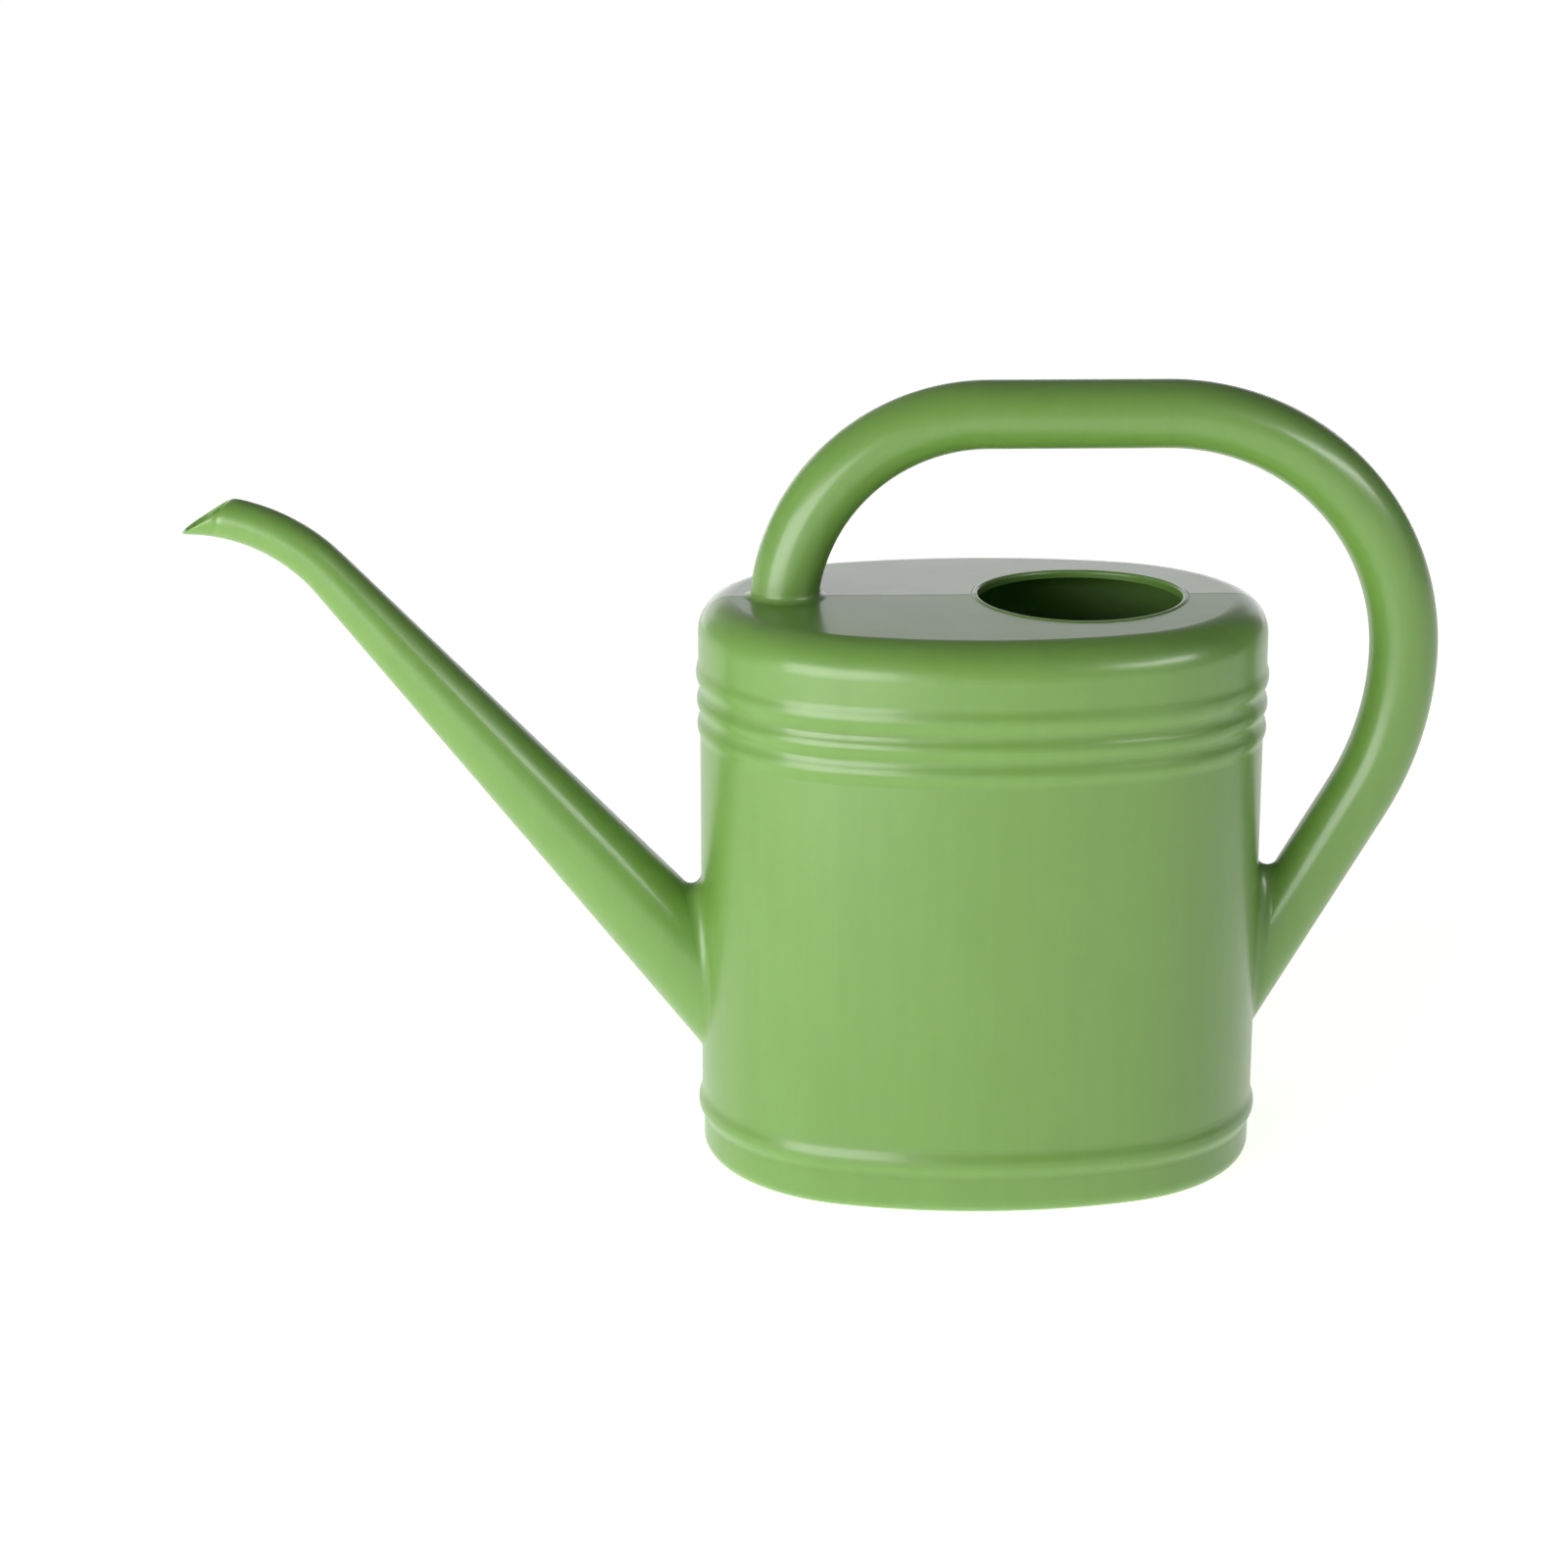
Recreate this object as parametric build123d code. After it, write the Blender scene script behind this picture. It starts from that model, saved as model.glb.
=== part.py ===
from build123d import *
import math
import os

# A one-handed plastic watering can: an oval tank, a tapered spout with a swan neck, and a round
# hollow handle that runs from the front of the deck over the filler hole to the back of the tank.
# Millimetres, +Z up, +X towards the back of the handle, origin in the middle of the base on the ground.

# ---- driving dimensions ----
TANK_HALF_LENGTH = 120.0     # along X, lower wall
TANK_HALF_WIDTH = 85.0       # along Y, lower wall
TANK_END_RADIUS = 79.0       # plan radius of the two round ends
WALL = 2.4                   # moulded wall thickness

BASE_JOINT_Z = 16.0          # base pan meets the wall in the hollow under the lower bead
TOP_JOINT_Z = 208.9          # wall meets the top shell in a groove between two beads
DECK_RIDGE_Z = 248.3         # the deck falls from its middle line to both sides, as a very low roof
DECK_FALL = 1.2              # degrees
SHOULDER_RADIUS = 15.0
BAND_PROUD = 0.7             # upper band stands this far out of the lower wall

LOWER_BEAD_HEIGHT = 1.5
LOWER_BEAD_Z = 22.5
LOWER_BEAD_TOP_Z = 30.0
BEAD_CRESTS = ((1.2, 192.6), (1.4, 203.5), (1.7, 215.3))         # how far proud, and the height
BEAD_GROOVES = ((0.0, 187.3), (0.1, 198.2), (0.2, TOP_JOINT_Z))
BAND_START_Z = 221.5

FOOT_ROUND = 6.7             # rounding of the base edge
FOOT_WALL_INSET = 0.8        # the wall below the lower bead is set in this far
FOOT_RING_WIDTH = 8.0
FLOOR_RISE = 3.0

FILLER_X = 41.0
FILLER_RADIUS = 43.3
RIM_WIDTH = 2.6
RIM_PROUD = 0.5
RIM_DEPTH = 3.6
RIM_ROUND = 1.2

GRIP_RADIUS = 14.5
GRIP_WALL = 2.2
GRIP_Z = 325.5
GRIP_FRONT_X = 1.0
GRIP_BACK_X = 76.5
FRONT_BEND = 85.5            # centreline radius, deck to grip
REAR_BEND = 103.0            # centreline radius, grip to the back of the handle
LOWER_BEND = 130.0           # centreline radius, back of the handle to the sloping leg
LEG_ANGLE = 30.0             # slope of the rear leg from the vertical
LEG_RUN = 40.0               # straight part of the rear leg above its joint
LEG_ROOT = 82.0              # rest of the leg, from that joint into the tank
FRONT_JOINT_Z = 254.0        # front leg leaves the top shell here
FRONT_FILLET = 3.2
REAR_FILLET = 5.0

SPOUT_ANGLE = 48.6           # slope of the spout above the horizontal
SPOUT_ROOT = (-126.7, 90.6)  # point of the spout's centreline just outside the wall, X and Z
SPOUT_ROOT_RADIUS = 21.3
SPOUT_NECK_RADIUS = 9.9      # at the start of the swan neck
SPOUT_TIP_RADIUS = 8.3
SPOUT_LENGTH = 223.8         # from SPOUT_ROOT to the swan neck
SPOUT_JOINT = 27.0           # from SPOUT_ROOT to the joint with the tank's socket
SPOUT_INWARD = 46.0          # the socket's tube runs this far back into the tank before trimming
SPOUT_WALL = 2.0
SPOUT_FILLET = 4.5
NECK_BEND = 78.0             # centreline radius of the swan neck
NECK_SWEEP = 56.0            # how far the neck is drawn before the mouth is cut
NECK_JOINT_SWEEP = 26.0      # tip meets the neck here
MOUTH_POINT = (-326.2, 284.5)
MOUTH_SLOPE = 38.0           # slope of the cut mouth from the horizontal

# ---- values that follow ----
END_CENTRE = TANK_HALF_LENGTH - TANK_END_RADIUS
SIDE_RADIUS = (END_CENTRE**2 + TANK_HALF_WIDTH**2 - TANK_END_RADIUS**2) / (
    2 * (TANK_HALF_WIDTH - TANK_END_RADIUS)
)
SIDE_CENTRE = SIDE_RADIUS - TANK_HALF_WIDTH
END_SPAN = math.degrees(math.atan2(SIDE_CENTRE, END_CENTRE))
REAR_CENTRE_Z = GRIP_Z - REAR_BEND
BIG = 600.0                  # longer than anything it cuts
OVERLAP = 1.0                # a cutting body runs this far past the piece it cuts


# ---- helpers ----
def arcs_of_oval():
    """Centre, radius, start angle and sweep of the four arcs of the tank's plan."""
    side_span = 90.0 - END_SPAN
    return (
        ((END_CENTRE, 0), TANK_END_RADIUS, -END_SPAN, 2 * END_SPAN),
        ((0, -SIDE_CENTRE), SIDE_RADIUS, END_SPAN, 2 * side_span),
        ((-END_CENTRE, 0), TANK_END_RADIUS, 180 - END_SPAN, 2 * END_SPAN),
        ((0, SIDE_CENTRE), SIDE_RADIUS, 180 + END_SPAN, 2 * side_span),
    )


def around_oval(profile):
    """Carries a flat profile (x = distance outside the oval, y = height) round the oval."""
    sectors = []
    for (centre_x, centre_y), radius, start, sweep in arcs_of_oval():
        angle = math.radians(start)
        plane = Plane(
            origin=(centre_x, centre_y, 0),
            x_dir=(math.cos(angle), math.sin(angle), 0),
            z_dir=(math.sin(angle), -math.cos(angle), 0),
        )
        axis = Axis((centre_x, centre_y, 0), (0, 0, 1))
        sectors.append(revolve(plane * Pos(radius, 0) * profile, axis, revolution_arc=sweep))
    return sectors[0] + sectors[1:]


def oval_block(offset, bottom, top):
    """An upright block with the tank's plan, moved in or out by the offset."""
    edges = []
    for (centre_x, centre_y), radius, start, sweep in arcs_of_oval():
        edges.append(CenterArc((centre_x, centre_y), radius + offset, start, sweep))
    plan = make_face(edges)
    return Pos(0, 0, bottom) * extrude(plan, top - bottom)


def closed_profile(*edges):
    return make_face(list(edges))


def wave(start, end):
    """Two equal arcs from one upright point of an outline to the next, as in a row of beads."""
    middle = ((start[0] + end[0]) / 2, (start[1] + end[1]) / 2)
    upward = 1 if end[1] > start[1] else -1
    first = TangentArc(start, middle, tangent=(0, upward))
    second = TangentArc(middle, end, tangent=first % 1)
    return [first, second]


def upright(x, z):
    return (x, 0, z)


def tube_along(start, direction, length, radius, end_radius=None):
    """A solid round bar or cone from a point along a direction of the XZ plane."""
    plane = Plane(origin=start, x_dir=(0, 1, 0), z_dir=direction)
    if end_radius is None:
        bar = Cylinder(radius, length, align=(Align.CENTER, Align.CENTER, Align.MIN))
    else:
        bar = Cone(radius, end_radius, length, align=(Align.CENTER, Align.CENTER, Align.MIN))
    return plane * bar


def bend(centre, bend_radius, tube_radius, start, sweep):
    """A solid round bar bent in the XZ plane; angles are measured from +X towards +Z."""
    angle = math.radians(start)
    outward = (math.cos(angle), 0, math.sin(angle))
    middle = (centre[0] + bend_radius * outward[0], 0, centre[1] + bend_radius * outward[2])
    section = Plane(origin=middle, x_dir=outward, z_dir=(-outward[2], 0, outward[0])) * Circle(tube_radius)
    turn = Axis((centre[0], 0, centre[1]), (0, -1, 0))
    return revolve(section, turn, revolution_arc=sweep)


def half_space(point, normal):
    """A large block that fills the side of a plane to which the normal points."""
    plane = Plane(origin=point, z_dir=normal)
    return plane * Box(BIG, BIG, BIG, align=(Align.CENTER, Align.CENTER, Align.MIN))


def behind_parting_plane():
    return half_space((0, 0, 0), (0, 1, 0))


# ---- base pan ----
def base_pan():
    wall_x = -FOOT_WALL_INSET
    foot_x = wall_x - FOOT_ROUND
    ring_in = foot_x - FOOT_RING_WIDTH
    floor_x = ring_in - FLOOR_RISE - WALL
    outline = closed_profile(
        CenterArc((foot_x, FOOT_ROUND), FOOT_ROUND, 270, 90),
        Line((wall_x, FOOT_ROUND), (wall_x, BASE_JOINT_Z)),
        Line((wall_x, BASE_JOINT_Z), (wall_x - WALL, BASE_JOINT_Z)),
        Line((wall_x - WALL, BASE_JOINT_Z), (wall_x - WALL, FOOT_ROUND)),
        CenterArc((foot_x, FOOT_ROUND), FOOT_ROUND - WALL, 270, 90),
        Line((foot_x, WALL), (ring_in, WALL)),
        Line((ring_in, WALL), (floor_x, FLOOR_RISE + WALL)),
        Line((floor_x, FLOOR_RISE + WALL), (floor_x, FLOOR_RISE)),
        Line((floor_x, FLOOR_RISE), (ring_in, 0)),
        Line((ring_in, 0), (foot_x, 0)),
    )
    return around_oval(outline) + oval_block(floor_x, FLOOR_RISE, FLOOR_RISE + WALL)


# ---- tank wall ----
def wall_ring():
    foot_x = -FOOT_WALL_INSET
    crest = (LOWER_BEAD_HEIGHT, LOWER_BEAD_Z)
    outer = wave((foot_x, BASE_JOINT_Z), crest)
    outer += wave(crest, (0, LOWER_BEAD_TOP_Z))
    outer.append(Line((0, LOWER_BEAD_TOP_Z), BEAD_GROOVES[0]))
    for index in (0, 1):
        outer += wave(BEAD_GROOVES[index], BEAD_CRESTS[index])
        outer += wave(BEAD_CRESTS[index], BEAD_GROOVES[index + 1])
    outline = closed_profile(
        *outer,
        Line(BEAD_GROOVES[2], (-WALL, TOP_JOINT_Z)),
        Line((-WALL, TOP_JOINT_Z), (-WALL, LOWER_BEAD_Z)),
        Line((-WALL, LOWER_BEAD_Z), (foot_x - WALL, BASE_JOINT_Z)),
        Line((foot_x - WALL, BASE_JOINT_Z), (foot_x, BASE_JOINT_Z)),
    )
    return around_oval(outline)


def spout_direction():
    angle = math.radians(SPOUT_ANGLE)
    return Vector(-math.cos(angle), 0, math.sin(angle))


def spout_point(distance):
    return Vector(*upright(*SPOUT_ROOT)) + spout_direction() * distance


def spout_radius(distance):
    return SPOUT_ROOT_RADIUS + (SPOUT_NECK_RADIUS - SPOUT_ROOT_RADIUS) * distance / SPOUT_LENGTH


def spout_cone(start, end, inset=0.0):
    """Part of the straight, tapered spout, or of its bore where an inset is given."""
    return tube_along(
        spout_point(start),
        spout_direction(),
        end - start,
        spout_radius(start) - inset,
        spout_radius(end) - inset,
    )


def leg_direction():
    angle = math.radians(LEG_ANGLE)
    return Vector(-math.sin(angle), 0, -math.cos(angle))


def leg_start():
    """The point where the handle's lower bend turns into the straight leg."""
    angle = math.radians(LEG_ANGLE)
    centre_x = GRIP_BACK_X + REAR_BEND - LOWER_BEND
    return Vector(
        centre_x + LOWER_BEND * math.cos(angle), 0, REAR_CENTRE_Z - LOWER_BEND * math.sin(angle)
    )


def wall_half():
    """The half of the tank wall behind the mould's parting plane, with half of each socket."""
    leg_joint = leg_start() + leg_direction() * LEG_RUN
    half = wall_ring()
    half += spout_cone(-SPOUT_INWARD, SPOUT_JOINT)
    half += tube_along(leg_joint, leg_direction(), LEG_ROOT, GRIP_RADIUS)
    half -= oval_block(-WALL, LOWER_BEAD_Z, TOP_JOINT_Z)
    half &= behind_parting_plane()
    half = half.fillet(SPOUT_FILLET, [e for e in half.edges() if on_wall_and_bar(e, -1)])
    half = half.fillet(REAR_FILLET, [e for e in half.edges() if on_wall_and_bar(e, 1)])
    half -= spout_cone(-SPOUT_INWARD - OVERLAP, SPOUT_JOINT + OVERLAP, SPOUT_WALL)
    bore = GRIP_RADIUS - GRIP_WALL
    bore_start = leg_joint - leg_direction() * OVERLAP
    return half - tube_along(bore_start, leg_direction(), LEG_ROOT, bore)


def tank_wall():
    """The oval wall with its beads, the spout's socket and the rear leg's socket."""
    half = wall_half()
    return (half + mirror(half, Plane.XZ)).fix()


def on_wall_and_bar(edge, side):
    """True for the seam where a socket leaves the outside of the wall; side is the sign of X."""
    seam_depth = 5.4             # the seam runs this far back round the end of the oval
    margin = 2.0
    box = edge.bounding_box()
    near_wall = abs(edge.center().X) < TANK_HALF_LENGTH + 0.5
    outside = min(abs(box.min.X), abs(box.max.X)) > TANK_HALF_LENGTH - seam_depth
    above = box.min.Z > LOWER_BEAD_TOP_Z + margin
    below = box.max.Z < BEAD_GROOVES[0][1] - margin
    return box.max.Y > 1 and edge.center().X * side > 0 and near_wall and outside and above and below


# ---- top shell ----
def above_deck(height):
    """Everything above the falling half of the deck behind the parting plane, at a height over it."""
    fall = math.radians(DECK_FALL)
    return half_space((0, 0, DECK_RIDGE_Z + height), (0, math.sin(fall), math.cos(fall)))


def top_block(inset):
    """Half of the band, shoulder and deck as a solid block, moved in by the inset."""
    block = oval_block(BAND_PROUD - inset, BAND_START_Z, DECK_RIDGE_Z + 1)
    block = (block & behind_parting_plane()) - above_deck(-inset)
    shoulder_z = DECK_RIDGE_Z - SHOULDER_RADIUS
    top_edge = [e for e in block.edges() if e.bounding_box().min.Z > shoulder_z and e.center().Y > 1]
    return block.fillet(SHOULDER_RADIUS - inset, top_edge)


def upper_bead_ring():
    """The ring that carries the top bead, from the joint with the wall to the upper band."""
    outline = closed_profile(
        *wave(BEAD_GROOVES[2], BEAD_CRESTS[2]),
        *wave(BEAD_CRESTS[2], (BAND_PROUD, BAND_START_Z)),
        Line((BAND_PROUD, BAND_START_Z), (BAND_PROUD - WALL, BAND_START_Z)),
        Line((BAND_PROUD - WALL, BAND_START_Z), (-WALL, TOP_JOINT_Z)),
        Line((-WALL, TOP_JOINT_Z), BEAD_GROOVES[2]),
    )
    return around_oval(outline)


def front_bow_bar(radius, start, sweep):
    centre = (GRIP_FRONT_X, GRIP_Z - FRONT_BEND)
    return bend(centre, FRONT_BEND, radius, start, sweep)


def top_half():
    """The half of the top shell behind the mould's parting plane, with half the leg's root."""
    root_sweep = 20.0            # degrees of the front bend that are drawn above the deck
    below_deck = 3.0             # and below it
    into_deck = 0.7 * WALL
    half = (upper_bead_ring() & behind_parting_plane()) + (top_block(0) - top_block(WALL))
    leg = front_bow_bar(GRIP_RADIUS, 180 - root_sweep, root_sweep + below_deck)
    leg &= half_space((0, 0, FRONT_JOINT_Z), (0, 0, -1))
    leg &= half_space((0, 0, DECK_RIDGE_Z - into_deck), (0, 0, 1))
    half += leg & behind_parting_plane()
    foot = Vector(GRIP_FRONT_X - FRONT_BEND, 0, DECK_RIDGE_Z)
    seam = [
        edge
        for edge in half.edges()
        if abs(edge.center().Z - DECK_RIDGE_Z) < 0.5
        and edge.center().Y > 1
        and (edge @ 0 - foot).length < GRIP_RADIUS + OVERLAP
    ]
    half = half.fillet(FRONT_FILLET, seam)
    bore = GRIP_RADIUS - GRIP_WALL
    half -= front_bow_bar(bore, 180 - root_sweep, root_sweep + 2 * below_deck)
    return half - Pos(FILLER_X, 0, DECK_RIDGE_Z) * Cylinder(FILLER_RADIUS + RIM_WIDTH, SHOULDER_RADIUS)


def top_shell():
    """Shoulder and deck, with the filler hole and the root of the handle's front leg."""
    half = top_half()
    return (half + mirror(half, Plane.XZ)).fix()


def filler_rim():
    """The rolled edge of the filler hole, turned down into the tank."""
    bottom = DECK_RIDGE_Z - RIM_DEPTH
    upright_low = (Align.CENTER, Align.CENTER, Align.MIN)
    ring = Cylinder(FILLER_RADIUS + RIM_WIDTH, 2 * RIM_DEPTH, align=upright_low)
    ring -= Cylinder(FILLER_RADIUS, 2 * RIM_DEPTH, align=upright_low)
    half = (Pos(FILLER_X, 0, bottom) * ring & behind_parting_plane()) - above_deck(RIM_PROUD)
    top_edge = [e for e in half.edges() if e.center().Z > bottom + RIM_ROUND and e.length > FILLER_RADIUS]
    half = half.fillet(RIM_ROUND, top_edge)
    return half + mirror(half, Plane.XZ)


# ---- spout ----
def spout_tube():
    bore = spout_cone(SPOUT_JOINT - OVERLAP, SPOUT_LENGTH + OVERLAP, SPOUT_WALL)
    return spout_cone(SPOUT_JOINT, SPOUT_LENGTH) - bore


def neck_section(sweep, radius):
    """A circle across the swan neck, the given number of degrees past its start."""
    angle = math.radians(SPOUT_ANGLE)
    start = spout_point(SPOUT_LENGTH)
    centre = start + Vector(-math.sin(angle), 0, -math.cos(angle)) * NECK_BEND
    slope = math.radians(SPOUT_ANGLE - sweep)
    direction = Vector(-math.cos(slope), 0, math.sin(slope))
    middle = centre + Vector(math.sin(slope), 0, math.cos(slope)) * NECK_BEND
    return Plane(origin=middle, x_dir=(0, 1, 0), z_dir=direction) * Circle(radius)


def neck_solid(inset):
    """The whole swan neck as a lofted bar; it starts a little way down the straight spout."""
    lead = 8.0
    steps = 7
    sections = []
    for back in (lead, lead / 2):
        distance = SPOUT_LENGTH - back
        plane = Plane(origin=spout_point(distance), x_dir=(0, 1, 0), z_dir=spout_direction())
        sections.append(plane * Circle(spout_radius(distance) - inset))
    for step in range(steps + 1):
        part_way = step / steps
        radius = SPOUT_NECK_RADIUS + (SPOUT_TIP_RADIUS - SPOUT_NECK_RADIUS) * part_way
        sections.append(neck_section(NECK_SWEEP * part_way, radius - inset))
    return loft(sections)


def neck_cut(sweep):
    """The plane across the neck at a number of degrees, as its middle and its direction."""
    section = neck_section(sweep, 1.0)
    slope = math.radians(SPOUT_ANGLE - sweep)
    return section.center(), Vector(-math.cos(slope), 0, math.sin(slope))


def swan_neck():
    """Neck and tip as one tapered, bent tube, with the mouth cut off on the slant."""
    slope = math.radians(MOUTH_SLOPE)
    mouth_normal = (-math.sin(slope), 0, math.cos(slope))
    tube = neck_solid(0.0) - neck_solid(SPOUT_WALL)
    tube -= half_space(upright(*MOUTH_POINT), mouth_normal)
    return tube & half_space(spout_point(SPOUT_LENGTH), spout_direction())


def spout_neck():
    point, direction = neck_cut(NECK_JOINT_SWEEP)
    return swan_neck() - half_space(point, direction)


def spout_tip():
    point, direction = neck_cut(NECK_JOINT_SWEEP)
    return swan_neck() & half_space(point, direction)


# ---- handle ----
def handle_front_bow():
    bow = front_bow_bar(GRIP_RADIUS, 90, 90)
    bow &= half_space((0, 0, FRONT_JOINT_Z), (0, 0, 1))
    return bow - front_bow_bar(GRIP_RADIUS - GRIP_WALL, 90, 90)


def handle_grip():
    length = GRIP_BACK_X - GRIP_FRONT_X
    start = upright(GRIP_FRONT_X, GRIP_Z)
    bar = tube_along(start, (1, 0, 0), length, GRIP_RADIUS)
    return bar - tube_along(start, (1, 0, 0), length, GRIP_RADIUS - GRIP_WALL)


def handle_rear_bow():
    centre = (GRIP_BACK_X, REAR_CENTRE_Z)
    outer = bend(centre, REAR_BEND, GRIP_RADIUS, 0, 90)
    return outer - bend(centre, REAR_BEND, GRIP_RADIUS - GRIP_WALL, 0, 90)


def handle_rear_leg():
    """The lower bend of the handle and the straight leg down to its socket on the tank."""
    centre = (GRIP_BACK_X + REAR_BEND - LOWER_BEND, REAR_CENTRE_Z)
    start = leg_start()
    leg = bend(centre, LOWER_BEND, GRIP_RADIUS, -LEG_ANGLE, LEG_ANGLE)
    leg += tube_along(start, leg_direction(), LEG_RUN, GRIP_RADIUS)
    bore = GRIP_RADIUS - GRIP_WALL
    leg -= bend(centre, LOWER_BEND, bore, -LEG_ANGLE, LEG_ANGLE)
    return leg - tube_along(start, leg_direction(), LEG_RUN, bore)


NODES = (
    base_pan,
    tank_wall,
    top_shell,
    filler_rim,
    spout_tube,
    spout_neck,
    spout_tip,
    handle_front_bow,
    handle_grip,
    handle_rear_bow,
    handle_rear_leg,
)

os.makedirs("parts", exist_ok=True)
for make in NODES:
    part = make()
    export_step(part, f"parts/{make.__name__}.step")
    print(make.__name__, round(part.volume), part.is_valid, len(part.solids()))
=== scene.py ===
import math

import bmesh
import bpy
from bpy.props import FloatProperty, FloatVectorProperty, PointerProperty
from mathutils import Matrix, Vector


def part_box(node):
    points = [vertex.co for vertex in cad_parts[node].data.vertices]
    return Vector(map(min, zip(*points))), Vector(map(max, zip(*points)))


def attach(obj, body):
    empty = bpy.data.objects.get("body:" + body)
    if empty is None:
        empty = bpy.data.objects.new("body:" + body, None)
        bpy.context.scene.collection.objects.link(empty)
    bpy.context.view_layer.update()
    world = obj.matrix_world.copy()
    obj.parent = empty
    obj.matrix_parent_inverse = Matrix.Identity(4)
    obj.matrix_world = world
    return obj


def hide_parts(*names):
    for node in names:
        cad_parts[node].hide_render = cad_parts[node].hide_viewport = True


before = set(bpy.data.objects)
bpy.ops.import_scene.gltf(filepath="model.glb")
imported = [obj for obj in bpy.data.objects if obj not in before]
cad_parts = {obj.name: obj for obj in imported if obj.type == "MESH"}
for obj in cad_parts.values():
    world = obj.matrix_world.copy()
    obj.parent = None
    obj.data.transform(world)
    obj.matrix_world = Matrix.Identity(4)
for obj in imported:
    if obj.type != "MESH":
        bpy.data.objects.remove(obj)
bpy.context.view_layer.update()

bl_info = {
    "name": "Moulded Watering Can",
    "version": (1, 0, 0),
    "blender": (4, 5, 0),
    "location": "View3D > Sidebar > Watering Can",
    "description": "Finishes a blow-moulded watering can and sets it in a small studio",
    "category": "Add Mesh",
}

MM = 0.001

TANK_NODES = ("base_pan", "tank_wall", "top_shell")
SPOUT_NODES = ("spout_tube", "spout_neck")
HANDLE_NODES = ("handle_front_bow", "handle_grip", "handle_rear_bow", "handle_rear_leg")

# The pinch-off weld under the floor
FLOOR_RISE = 3 * MM          # the floor is this far above the foot ring
WELD_END_MARGIN = 30 * MM    # from each end of the base
WELD_WIDTH = 3.0 * MM
WELD_DROP = 1.4 * MM         # below the floor
WELD_ROOT = 0.6 * MM         # up into the floor
WELD_CUTS = 35
WELD_CREST_SHARE = (0.97, 0.5, 1.0)        # the crest's length and width, against the root's
WELD_RAGGEDNESS = 0.25 * MM

# The tip of the spout: rings from the joint with the neck to the mouth, all round one bend.
# A ring's top and bottom are given as turns from the end of the straight spout.
BEND_CENTRE = (-333.21 * MM, 0.0, 206.89 * MM)
BEND_RADIUS = 78.0 * MM
SPOUT_SLOPE = math.radians(48.6)
JOINT_TURN = math.radians(26.0)
MOUTH_TOP_TURN = math.radians(37.3)
MOUTH_BOTTOM_TURN = math.radians(51.2)
FULL_TURN = math.radians(56.0)
NECK_RADIUS = 9.9 * MM
END_RADIUS = 8.3 * MM
TIP_RINGS = 8
TIP_SIDES = 40
TOP_DIPS = {7: 0.25 * MM, 8: 1.3 * MM}     # the top line rounds down into the mouth
TIP_WALL = 1.5 * MM
JOINT_DIRECTION = Vector((-math.cos(SPOUT_SLOPE - JOINT_TURN), 0, math.sin(SPOUT_SLOPE - JOINT_TURN)))
JOINT_NEAR = 0.3 * MM        # an edge this close to the joint's plane belongs to the joint
SHARP_FROM = math.radians(40)

ROUNDING_LEVELS = 2

# The soft crease round the spout, just behind its mouth
CREASE_PLACE = (-319.5 * MM, 0.0, 288 * MM)
CREASE_DIRECTION = (0.963, 0.0, -0.27)
CREASE_REACH = 2.2 * MM      # to each side

# The parting ridge, measured from the plane of spout and handle
RIDGE_TOP = 0.1 * MM
RIDGE_FOOT = 0.55 * MM

# Rubbed foot, measured up from the ground
SCUFF_TOP = 2.2 * MM
SCUFF_FULL = 0.2 * MM


# ---- colours ----
def linear(hex_colour, alpha=1.0):
    """A colour written as sRGB hex, as the linear numbers that the shaders take."""
    digits = hex_colour.lstrip("#")
    channels = []
    for index in (0, 2, 4):
        value = int(digits[index:index + 2], 16) / 255
        channels.append(value / 12.92 if value <= 0.04045 else ((value + 0.055) / 1.055) ** 2.4)
    return (*channels, alpha)


def colour_setting(name, description, hex_colour):
    return FloatVectorProperty(
        name=name,
        description=description,
        default=linear(hex_colour),
        size=4,
        subtype="COLOR",
        min=0,
        max=1,
    )


# ---- settings ----
class CanPlasticSettings(bpy.types.PropertyGroup):
    leaf_green: colour_setting("Leaf green", "Main colour of the plastic", "#6F9943")
    deep_green: colour_setting("Deep green", "Where the flow of the melt left more pigment", "#6C9640")
    scuffed_green: colour_setting("Scuffed green", "Rubbed plastic on the foot", "#9DB97B")
    roughness: FloatProperty(
        name="Roughness",
        description="Roughness of the moulded skin",
        default=0.42,
        min=0,
        max=1,
        subtype="FACTOR",
    )
    wave: FloatProperty(
        name="Wall wave",
        description="Height of the slow waves a blown wall has",
        default=0.03 * MM,
        unit="LENGTH",
    )
    peel: FloatProperty(
        name="Orange peel",
        description="Height of the fine grain of the skin",
        default=0.004 * MM,
        unit="LENGTH",
    )
    seam: FloatProperty(
        name="Seam height",
        description="Height of the mould's parting line",
        default=0.18 * MM,
        unit="LENGTH",
    )
    crease: FloatProperty(
        name="Tip crease",
        description="Depth of the crease behind the mouth",
        default=0.3 * MM,
        unit="LENGTH",
    )


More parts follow.
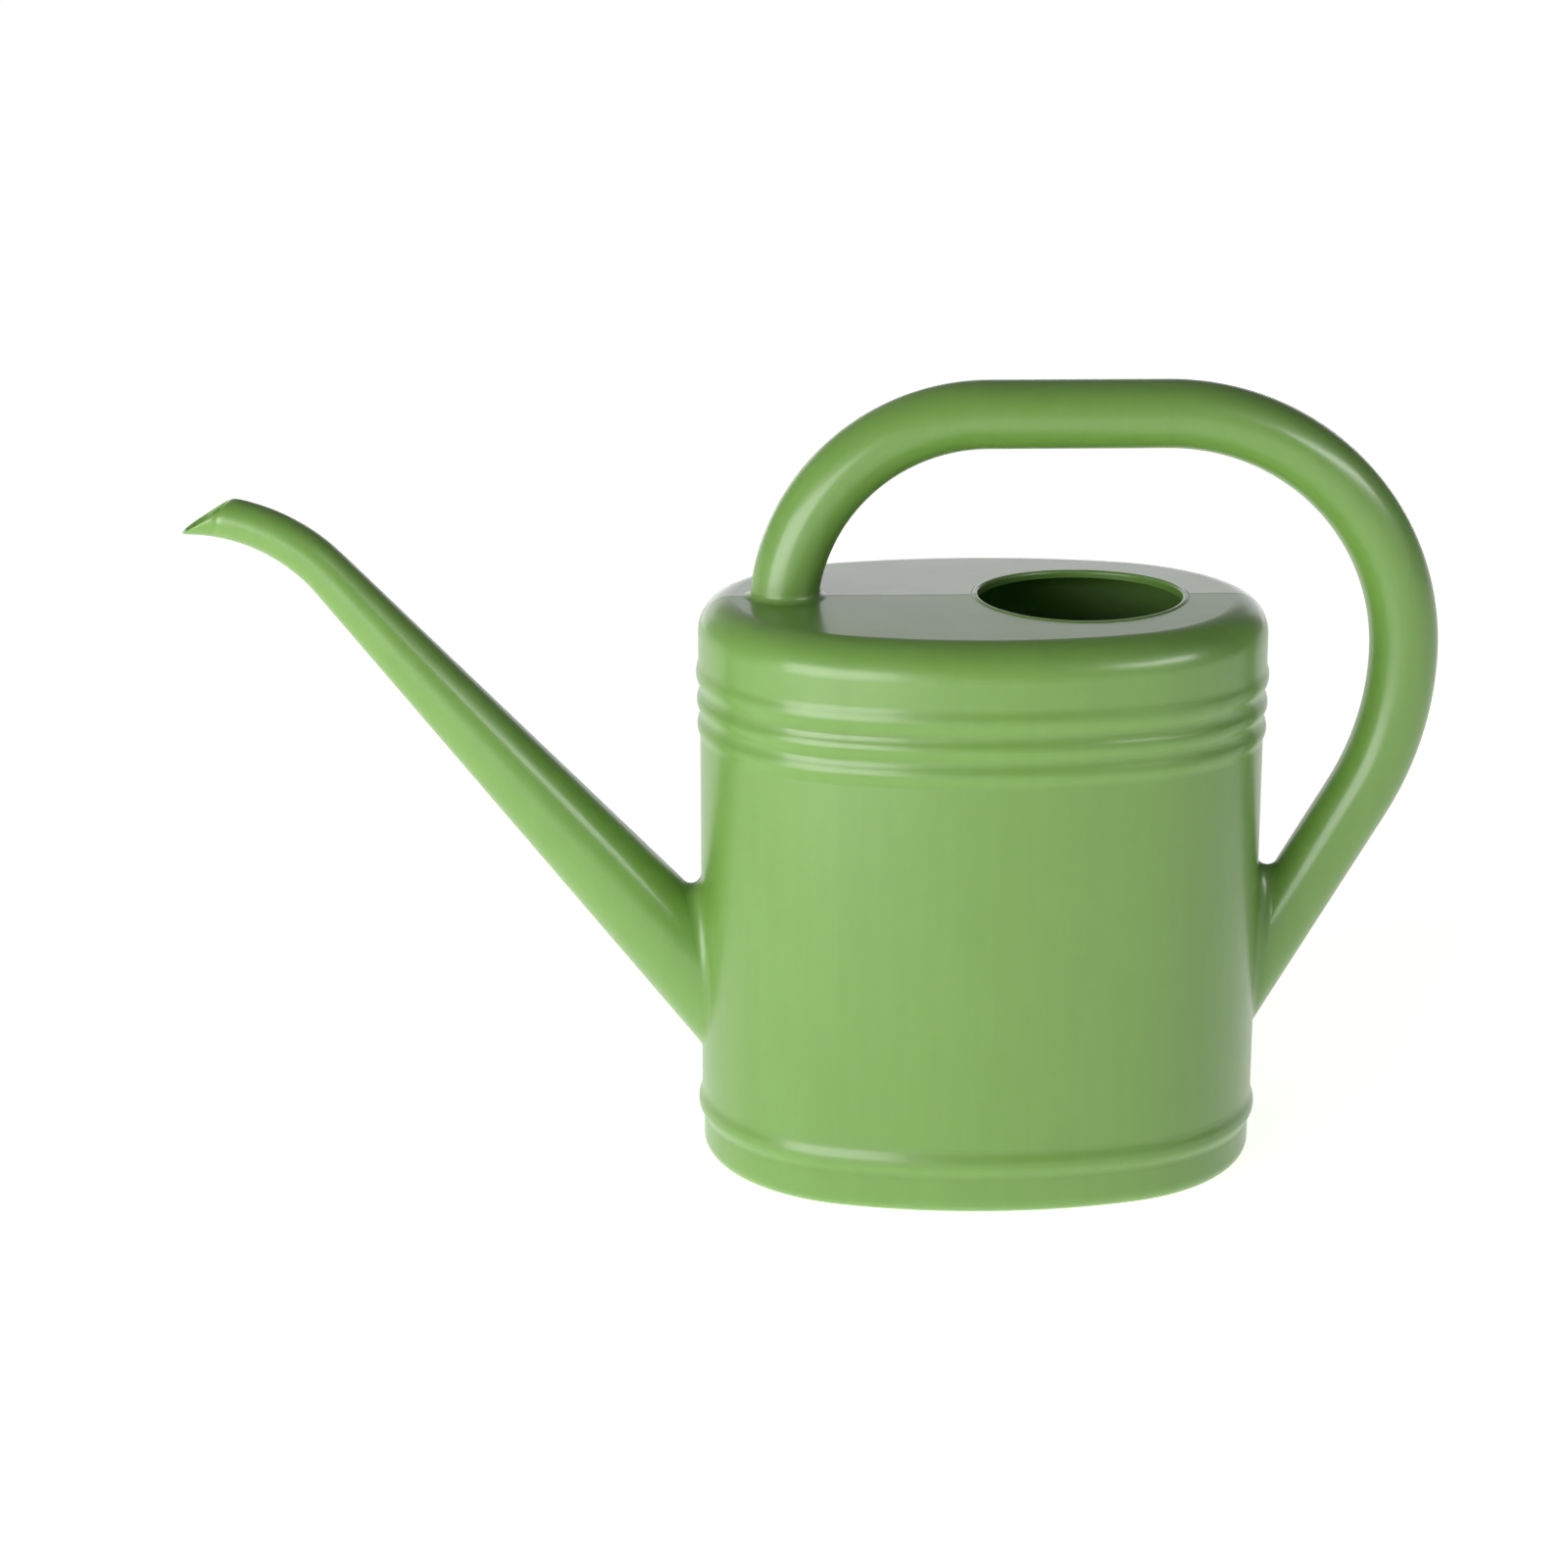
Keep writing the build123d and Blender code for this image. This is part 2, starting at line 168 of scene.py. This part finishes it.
class CanStageSettings(bpy.types.PropertyGroup):
    floor_colour: colour_setting("Floor", "Pale floor of the studio", "#EDEDEB")
    air_colour: colour_setting("Surroundings", "Light that comes evenly from all round", "#FFFFFF")
    air: FloatProperty(
        name="Surroundings strength", description="Strength of the even light", default=0.3, min=0
    )
    horizon: FloatProperty(
        name="Horizon", description="Strength of the even light near the floor", default=0.4, min=0
    )
    shade: FloatProperty(
        name="Right shade",
        description="How much of the even light is missing on the right",
        default=0.6,
        min=0,
        max=1,
    )
    glow: FloatProperty(
        name="Floor glow", description="Light the floor gives by itself", default=0.98, min=0
    )
    screen_colour: colour_setting("Screen", "Bright screen that the deck reflects", "#F7F2FB")
    key: FloatProperty(
        name="Key light", description="Wide soft light, front left", default=17.0, unit="POWER"
    )
    fill: FloatProperty(
        name="Fill light",
        description="High soft light, front right, for highlights only",
        default=11.0,
        unit="POWER",
    )
    back: FloatProperty(
        name="Back light", description="Bright screen behind the can", default=16.0, unit="POWER"
    )


# ---- materials ----
def node(tree, kind, settings=None, links=None):
    """Adds one shader node, sets its properties and sockets and links its inputs."""
    new = tree.nodes.new(kind)
    for key, value in (settings or {}).items():
        if isinstance(key, str) and hasattr(new, key):
            setattr(new, key, value)
        else:
            new.inputs[key].default_value = value
    for key, output in (links or {}).items():
        tree.links.new(output, new.inputs[key])
    return new


def per_metre(size):
    """Noise scale whose cells have about the given size."""
    return 1.0 / size


def moulded_polyethylene():
    """Blow-moulded polyethylene, dyed right through: a waxy skin that shines both broadly and, as a
    weaker coat, more sharply, with slow waves, a fine orange peel, faint upright flow streaks and
    the low ridge where the two mould halves met."""
    settings = bpy.context.scene.can_plastic
    material = bpy.data.materials.new("blow_moulded_polyethylene")
    material.use_nodes = True
    tree = material.node_tree
    tree.nodes.clear()
    place = node(tree, "ShaderNodeTexCoord").outputs["Object"]

    # Pigment: clouds of 40 mm and upright streaks about 7 mm apart that the parison's flow left.
    clouds = node(
        tree,
        "ShaderNodeTexNoise",
        {"Scale": per_metre(40 * MM), "Detail": 3.0, "Roughness": 0.5},
        {"Vector": place},
    )
    stretched = node(tree, "ShaderNodeMapping", {"Scale": (1.0, 1.0, 0.08)}, {"Vector": place})
    streaks = node(
        tree,
        "ShaderNodeTexNoise",
        {"Scale": per_metre(7 * MM), "Detail": 2.0, "Roughness": 0.6},
        {"Vector": stretched.outputs[0]},
    )
    flow = node(
        tree,
        "ShaderNodeMath",
        {"operation": "ADD"},
        {0: clouds.outputs["Fac"], 1: streaks.outputs["Fac"]},
    )
    flow_share = node(
        tree, "ShaderNodeMapRange", {"From Min": 0.75, "From Max": 1.25}, {"Value": flow.outputs[0]}
    )
    pigment = node(
        tree,
        "ShaderNodeMix",
        {"data_type": "RGBA", 6: settings.leaf_green, 7: settings.deep_green},
        {0: flow_share.outputs["Result"]},
    )

    # Scuffs: the foot is rubbed where it stands, up to about 2 mm from the ground.
    parts = node(tree, "ShaderNodeSeparateXYZ", None, {"Vector": place})
    near_ground = node(
        tree,
        "ShaderNodeMapRange",
        {"From Min": SCUFF_TOP, "From Max": SCUFF_FULL},
        {"Value": parts.outputs["Z"]},
    )
    scratches = node(
        tree, "ShaderNodeTexNoise", {"Scale": per_metre(3 * MM), "Detail": 4.0}, {"Vector": place}
    )
    scuff = node(
        tree,
        "ShaderNodeMath",
        {"operation": "MULTIPLY"},
        {0: near_ground.outputs["Result"], 1: scratches.outputs["Fac"]},
    )
    colour = node(
        tree,
        "ShaderNodeMix",
        {"data_type": "RGBA", 7: settings.scuffed_green},
        {0: scuff.outputs[0], 6: pigment.outputs[2]},
    )

    # Gloss: patches of 25 mm differ a little, and the scuffed foot is dull.
    patches = node(
        tree, "ShaderNodeTexNoise", {"Scale": per_metre(25 * MM), "Detail": 2.0}, {"Vector": place}
    )
    gloss = node(
        tree,
        "ShaderNodeMapRange",
        {"To Min": settings.roughness - 0.03, "To Max": settings.roughness + 0.05},
        {"Value": patches.outputs["Fac"]},
    )
    dull = node(
        tree,
        "ShaderNodeMath",
        {"operation": "MULTIPLY_ADD", 1: 0.4},
        {0: scuff.outputs[0], 2: gloss.outputs["Result"]},
    )

    # Relief: slow waves of 30 mm, the grain drawn at 1.4 mm so that it shows, the parting ridge
    # and the soft crease behind the mouth.
    waves = node(
        tree, "ShaderNodeTexNoise", {"Scale": per_metre(30 * MM), "Detail": 1.0}, {"Vector": place}
    )
    grain = node(
        tree, "ShaderNodeTexNoise", {"Scale": per_metre(1.4 * MM), "Detail": 2.0}, {"Vector": place}
    )
    aside = node(tree, "ShaderNodeMath", {"operation": "ABSOLUTE"}, {0: parts.outputs["Y"]})
    ridge = node(
        tree,
        "ShaderNodeMapRange",
        {"interpolation_type": "SMOOTHSTEP", "From Min": RIDGE_FOOT, "From Max": RIDGE_TOP},
        {"Value": aside.outputs[0]},
    )
    wave_bump = node(
        tree,
        "ShaderNodeBump",
        {"Strength": 1.0, "Distance": settings.wave},
        {"Height": waves.outputs["Fac"]},
    )
    grain_bump = node(
        tree,
        "ShaderNodeBump",
        {"Strength": 1.0, "Distance": settings.peel},
        {"Height": grain.outputs["Fac"], "Normal": wave_bump.outputs[0]},
    )
    ridge_bump = node(
        tree,
        "ShaderNodeBump",
        {"Strength": 1.0, "Distance": settings.seam},
        {"Height": ridge.outputs["Result"], "Normal": grain_bump.outputs[0]},
    )
    from_crease = node(
        tree, "ShaderNodeVectorMath", {"operation": "SUBTRACT", 1: CREASE_PLACE}, {0: place}
    )
    past_crease = node(
        tree,
        "ShaderNodeVectorMath",
        {"operation": "DOT_PRODUCT", 1: CREASE_DIRECTION},
        {0: from_crease.outputs[0]},
    )
    to_crease = node(
        tree, "ShaderNodeMath", {"operation": "ABSOLUTE"}, {0: past_crease.outputs["Value"]}
    )
    crease = node(
        tree,
        "ShaderNodeMapRange",
        {"interpolation_type": "SMOOTHSTEP", "From Min": CREASE_REACH, "From Max": 0.0},
        {"Value": to_crease.outputs[0]},
    )
    crease_bump = node(
        tree,
        "ShaderNodeBump",
        {"invert": True, "Strength": 1.0, "Distance": settings.crease},
        {"Height": crease.outputs["Result"], "Normal": ridge_bump.outputs[0]},
    )

    surface = node(
        tree,
        "ShaderNodeBsdfPrincipled",
        {
            "IOR": 1.52,
            "Subsurface Weight": 0.4,
            "Subsurface Radius": (0.7, 1.0, 0.3),
            "Subsurface Scale": 5 * MM,
            "Coat Weight": 0.5,
            "Coat Roughness": 0.2,
        },
        {
            "Base Color": colour.outputs[2],
            "Roughness": dull.outputs[0],
            "Normal": crease_bump.outputs[0],
            "Coat Normal": crease_bump.outputs[0],
        },
    )
    node(tree, "ShaderNodeOutputMaterial", None, {"Surface": surface.outputs[0]})
    return material


def plastic():
    """The one plastic of the can, made when it is first asked for."""
    return bpy.data.materials.get("blow_moulded_polyethylene") or moulded_polyethylene()


def finish_nodes(names):
    for name in names:
        for material_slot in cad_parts[name].material_slots:
            material_slot.material = plastic()


def deselect():
    bpy.ops.object.select_all(action="DESELECT")


def select_edges(piece, wanted):
    """In edit mode, selects the edges that the given test is true for, and no others."""
    bpy.ops.mesh.select_mode(type="EDGE")
    bpy.ops.mesh.select_all(action="DESELECT")
    mesh = bmesh.from_edit_mesh(piece.data)
    for edge in mesh.edges:
        edge.select_set(wanted(edge))
    bmesh.update_edit_mesh(piece.data)


def round_off(piece):
    """Rounds a roughed-out piece by subdividing it smoothly."""
    rounding = piece.modifiers.new("rounding", "SUBSURF")
    rounding.levels = ROUNDING_LEVELS
    rounding.render_levels = ROUNDING_LEVELS
    bpy.ops.object.modifier_apply(modifier=rounding.name)


def finish_piece(piece):
    """Gives a new piece the can's plastic and fixes it to the can."""
    piece.data.materials.append(plastic())
    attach(piece, "root")


# ---- pieces ----
class CAN_OT_tank(bpy.types.Operator):
    """Gives the base, the wall and the top shell their moulded plastic"""

    bl_idname = "can.tank"
    bl_label = "Tank"

    def execute(self, context):
        finish_nodes(TANK_NODES)
        return {"FINISHED"}


class CAN_OT_filler(bpy.types.Operator):
    """Finishes the turned-down rim of the filler hole"""

    bl_idname = "can.filler"
    bl_label = "Filler rim"

    def execute(self, context):
        finish_nodes(("filler_rim",))
        return {"FINISHED"}


class CAN_OT_spout(bpy.types.Operator):
    """Finishes the tapered spout and the first part of its swan neck"""

    bl_idname = "can.spout"
    bl_label = "Spout"

    def execute(self, context):
        finish_nodes(SPOUT_NODES)
        return {"FINISHED"}


class CAN_OT_handle(bpy.types.Operator):
    """Finishes the hollow hoop handle"""

    bl_idname = "can.handle"
    bl_label = "Handle"

    def execute(self, context):
        finish_nodes(HANDLE_NODES)
        return {"FINISHED"}


def tip_ring(step):
    """One ring of the tip: its middle, the vector from its bottom to its top, and its half width."""
    share = step / TIP_RINGS
    ends = []
    for mouth_turn, side in ((MOUTH_TOP_TURN, 1), (MOUTH_BOTTOM_TURN, -1)):
        turn = JOINT_TURN + (mouth_turn - JOINT_TURN) * share
        radius = NECK_RADIUS + (END_RADIUS - NECK_RADIUS) * turn / FULL_TURN
        reach = BEND_RADIUS + side * radius
        if side > 0:
            reach -= TOP_DIPS.get(step, 0.0)
        slope = SPOUT_SLOPE - turn
        ends.append(Vector(BEND_CENTRE) + Vector((math.sin(slope), 0, math.cos(slope))) * reach)
    top, bottom = ends
    return (top + bottom) / 2, top - bottom, radius


def tilt(across):
    """Turn about Y that lays a flat ring along the given vector."""
    return math.atan2(-across.z, across.x)


class CAN_OT_spout_tip(bpy.types.Operator):
    """Builds the swan neck's tip as a thin tube with a soft lip round its slanting mouth"""

    bl_idname = "can.spout_tip"
    bl_label = "Spout tip"

    def execute(self, context):
        deselect()
        joint, across, width = tip_ring(0)
        bpy.ops.mesh.primitive_circle_add(
            vertices=TIP_SIDES, radius=across.length / 2, location=joint, rotation=(0, tilt(across), 0)
        )
        tip = context.object
        tip.name = "spout_lip_tube"
        bpy.ops.object.transform_apply(location=True, rotation=True, scale=True)

        # The outside, ring by ring; each ring is moved, made oval and turned.
        bpy.ops.object.mode_set(mode="EDIT")
        bpy.ops.mesh.select_mode(type="VERT")
        bpy.ops.mesh.select_all(action="SELECT")
        middle = joint
        for step in range(1, TIP_RINGS + 1):
            next_middle, next_across, next_width = tip_ring(step)
            bpy.ops.mesh.extrude_region_move(TRANSFORM_OT_translate={"value": next_middle - middle})
            longer = next_across.length / across.length
            bpy.ops.transform.resize(
                value=(longer, next_width / width, longer), center_override=next_middle
            )
            bpy.ops.transform.rotate(
                value=tilt(across) - tilt(next_across), orient_axis="Y", center_override=next_middle
            )
            middle, across, width = next_middle, next_across, next_width

        # The wall is laid inside, so the faces point outwards first.
        bpy.ops.mesh.select_all(action="SELECT")
        bpy.ops.mesh.normals_make_consistent(inside=False)
        mesh = bmesh.from_edit_mesh(tip.data)
        outermost = max(mesh.faces, key=lambda face: face.calc_center_median().y)
        if outermost.normal.y < 0:
            bpy.ops.mesh.flip_normals()
        bpy.ops.object.mode_set(mode="OBJECT")
        wall = tip.modifiers.new("wall", "SOLIDIFY")
        wall.thickness = TIP_WALL
        wall.offset = -1.0
        bpy.ops.object.modifier_apply(modifier=wall.name)

        # The joint stays crisp where the tip meets the neck; the lip is rounded.
        bpy.ops.object.mode_set(mode="EDIT")
        select_edges(
            tip,
            lambda edge: all(
                abs((vertex.co - joint).dot(JOINT_DIRECTION)) < JOINT_NEAR for vertex in edge.verts
            ),
        )
        bpy.ops.transform.edge_crease(value=1.0)
        bpy.ops.object.mode_set(mode="OBJECT")
        round_off(tip)
        bpy.ops.object.shade_smooth_by_angle(angle=SHARP_FROM)
        finish_piece(tip)
        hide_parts("spout_tip")
        return {"FINISHED"}


class CAN_OT_base_weld(bpy.types.Operator):
    """Builds the pinch-off weld under the floor, where the mould halves closed the tube of melt"""

    bl_idname = "can.base_weld"
    bl_label = "Base weld"

    def execute(self, context):
        low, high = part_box("base_pan")
        length = high[0] - low[0] - 2 * WELD_END_MARGIN
        middle = ((low[0] + high[0]) / 2, 0.0, FLOOR_RISE + (WELD_ROOT - WELD_DROP) / 2)
        deselect()
        bpy.ops.mesh.primitive_cube_add(size=1.0, location=middle)
        weld = context.object
        weld.name = "base_weld"
        bpy.ops.transform.resize(value=(length, WELD_WIDTH, WELD_ROOT + WELD_DROP))
        bpy.ops.object.transform_apply(location=True, rotation=True, scale=True)

        # Cut across many times, so that the crest can be made ragged.
        bpy.ops.object.mode_set(mode="EDIT")
        select_edges(weld, lambda edge: abs(edge.verts[0].co.x - edge.verts[1].co.x) > length / 2)
        bpy.ops.mesh.subdivide(number_cuts=WELD_CUTS)

        # The crest is narrower than the root, and uneven where the melt was torn off.
        bpy.ops.mesh.select_mode(type="VERT")
        bpy.ops.mesh.select_all(action="DESELECT")
        mesh = bmesh.from_edit_mesh(weld.data)
        for vertex in mesh.verts:
            vertex.select_set(vertex.co.z < middle[2])
        mesh.select_flush(True)
        bmesh.update_edit_mesh(weld.data)
        bpy.ops.transform.resize(value=WELD_CREST_SHARE, center_override=middle)
        bpy.ops.transform.vertex_random(offset=WELD_RAGGEDNESS, seed=4)
        bpy.ops.object.mode_set(mode="OBJECT")

        round_off(weld)
        bpy.ops.object.shade_smooth()
        finish_piece(weld)
        return {"FINISHED"}


# ---- stage ----
CAMERA_PLACE = (-0.1258, -1.5973, 0.6472)
CAMERA_TURN = (math.pi / 2 - 0.293, 0.0, -0.026)
LENS = 89.46                 # millimetres on a 36 mm sensor


def soft_light(name, azimuth, distance, width, bottom, top, power):
    """An upright rectangular soft light that faces the can; azimuth 0 is the front, right is positive."""
    around = math.radians(azimuth)
    place = (distance * math.sin(around), -distance * math.cos(around), (bottom + top) / 2)
    bpy.ops.object.light_add(type="AREA", location=place, rotation=(math.pi / 2, 0, around))
    light = bpy.context.object
    light.name = name
    light.data.shape = "RECTANGLE"
    light.data.size = width
    light.data.size_y = top - bottom
    light.data.energy = power
    light.visible_camera = False
    return light


class CAN_OT_stage(bpy.types.Operator):
    """Lays the pale floor and sets the soft lights and the camera"""

    bl_idname = "can.stage"
    bl_label = "Studio"

    def execute(self, context):
        settings = context.scene.can_stage
        deselect()
        bpy.ops.mesh.primitive_plane_add(size=60.0, location=(0, 0, 0))
        floor = bpy.context.object
        floor.name = "studio_floor"
        paper = bpy.data.materials.new("matt_studio_paper")
        paper.use_nodes = True
        surface = paper.node_tree.nodes["Principled BSDF"]
        surface.inputs["Base Color"].default_value = settings.floor_colour
        surface.inputs["Roughness"].default_value = 0.9
        surface.inputs["Specular IOR Level"].default_value = 0.0
        surface.inputs["Emission Color"].default_value = settings.floor_colour
        surface.inputs["Emission Strength"].default_value = settings.glow
        floor.data.materials.append(paper)

        world = bpy.data.worlds.new("even_surroundings")
        world.use_nodes = True
        tree = world.node_tree
        direction = node(tree, "ShaderNodeTexCoord")
        parts = node(tree, "ShaderNodeSeparateXYZ", None, {"Vector": direction.outputs["Generated"]})
        height_share = node(
            tree,
            "ShaderNodeMapRange",
            {"From Min": 0.0, "From Max": 0.35, "To Min": settings.horizon, "To Max": settings.air},
            {"Value": parts.outputs["Z"]},
        )
        side = node(
            tree,
            "ShaderNodeMapRange",
            {"From Min": -0.5, "From Max": 0.7, "To Min": 1.0, "To Max": 1.0 - settings.shade},
            {"Value": parts.outputs["X"]},
        )
        strength = node(
            tree,
            "ShaderNodeMath",
            {"operation": "MULTIPLY"},
            {0: height_share.outputs[0], 1: side.outputs[0]},
        )
        background = tree.nodes["Background"]
        background.inputs["Color"].default_value = settings.air_colour
        tree.links.new(strength.outputs[0], background.inputs["Strength"])
        context.scene.world = world

        soft_light("key_softbox", -41, 1.5, 1.3, 0.05, 0.7, settings.key)
        fill = soft_light("fill_softbox", 52, 1.5, 1.0, 0.78, 1.1, settings.fill)
        fill.visible_diffuse = False
        screen = soft_light("back_screen", 180, 2.4, 3.2, 0.02, 1.05, settings.back)
        screen.visible_diffuse = False
        screen.data.color = settings.screen_colour[:3]

        bpy.ops.object.camera_add(location=CAMERA_PLACE, rotation=CAMERA_TURN)
        camera = bpy.context.object
        camera.name = "studio_camera"
        camera.data.sensor_width = 36.0
        camera.data.lens = LENS
        context.scene.camera = camera
        context.scene.view_settings.view_transform = "Standard"
        return {"FINISHED"}


class CAN_PT_panel(bpy.types.Panel):
    """Sidebar panel with the can's settings and its operators"""

    bl_idname = "CAN_PT_panel"
    bl_label = "Watering Can"
    bl_space_type = "VIEW_3D"
    bl_region_type = "UI"
    bl_category = "Watering Can"

    def draw(self, context):
        layout = self.layout
        for group in (context.scene.can_plastic, context.scene.can_stage):
            box = layout.box()
            for name in group.bl_rna.properties.keys():
                if name not in ("rna_type", "name"):
                    box.prop(group, name)
        for operator in OPERATORS:
            layout.operator(operator.bl_idname)


OPERATORS = (
    CAN_OT_tank,
    CAN_OT_filler,
    CAN_OT_spout,
    CAN_OT_spout_tip,
    CAN_OT_handle,
    CAN_OT_base_weld,
    CAN_OT_stage,
)
CLASSES = (CanPlasticSettings, CanStageSettings, *OPERATORS, CAN_PT_panel)


def register():
    for item in CLASSES:
        bpy.utils.register_class(item)
    bpy.types.Scene.can_plastic = PointerProperty(type=CanPlasticSettings)
    bpy.types.Scene.can_stage = PointerProperty(type=CanStageSettings)


def unregister():
    del bpy.types.Scene.can_stage
    del bpy.types.Scene.can_plastic
    for item in reversed(CLASSES):
        bpy.utils.unregister_class(item)


def main():
    register()
    bpy.ops.can.tank()
    bpy.ops.can.filler()
    bpy.ops.can.spout()
    bpy.ops.can.spout_tip()
    bpy.ops.can.handle()
    bpy.ops.can.base_weld()
    bpy.ops.can.stage()


if __name__ == "__main__":
    main()
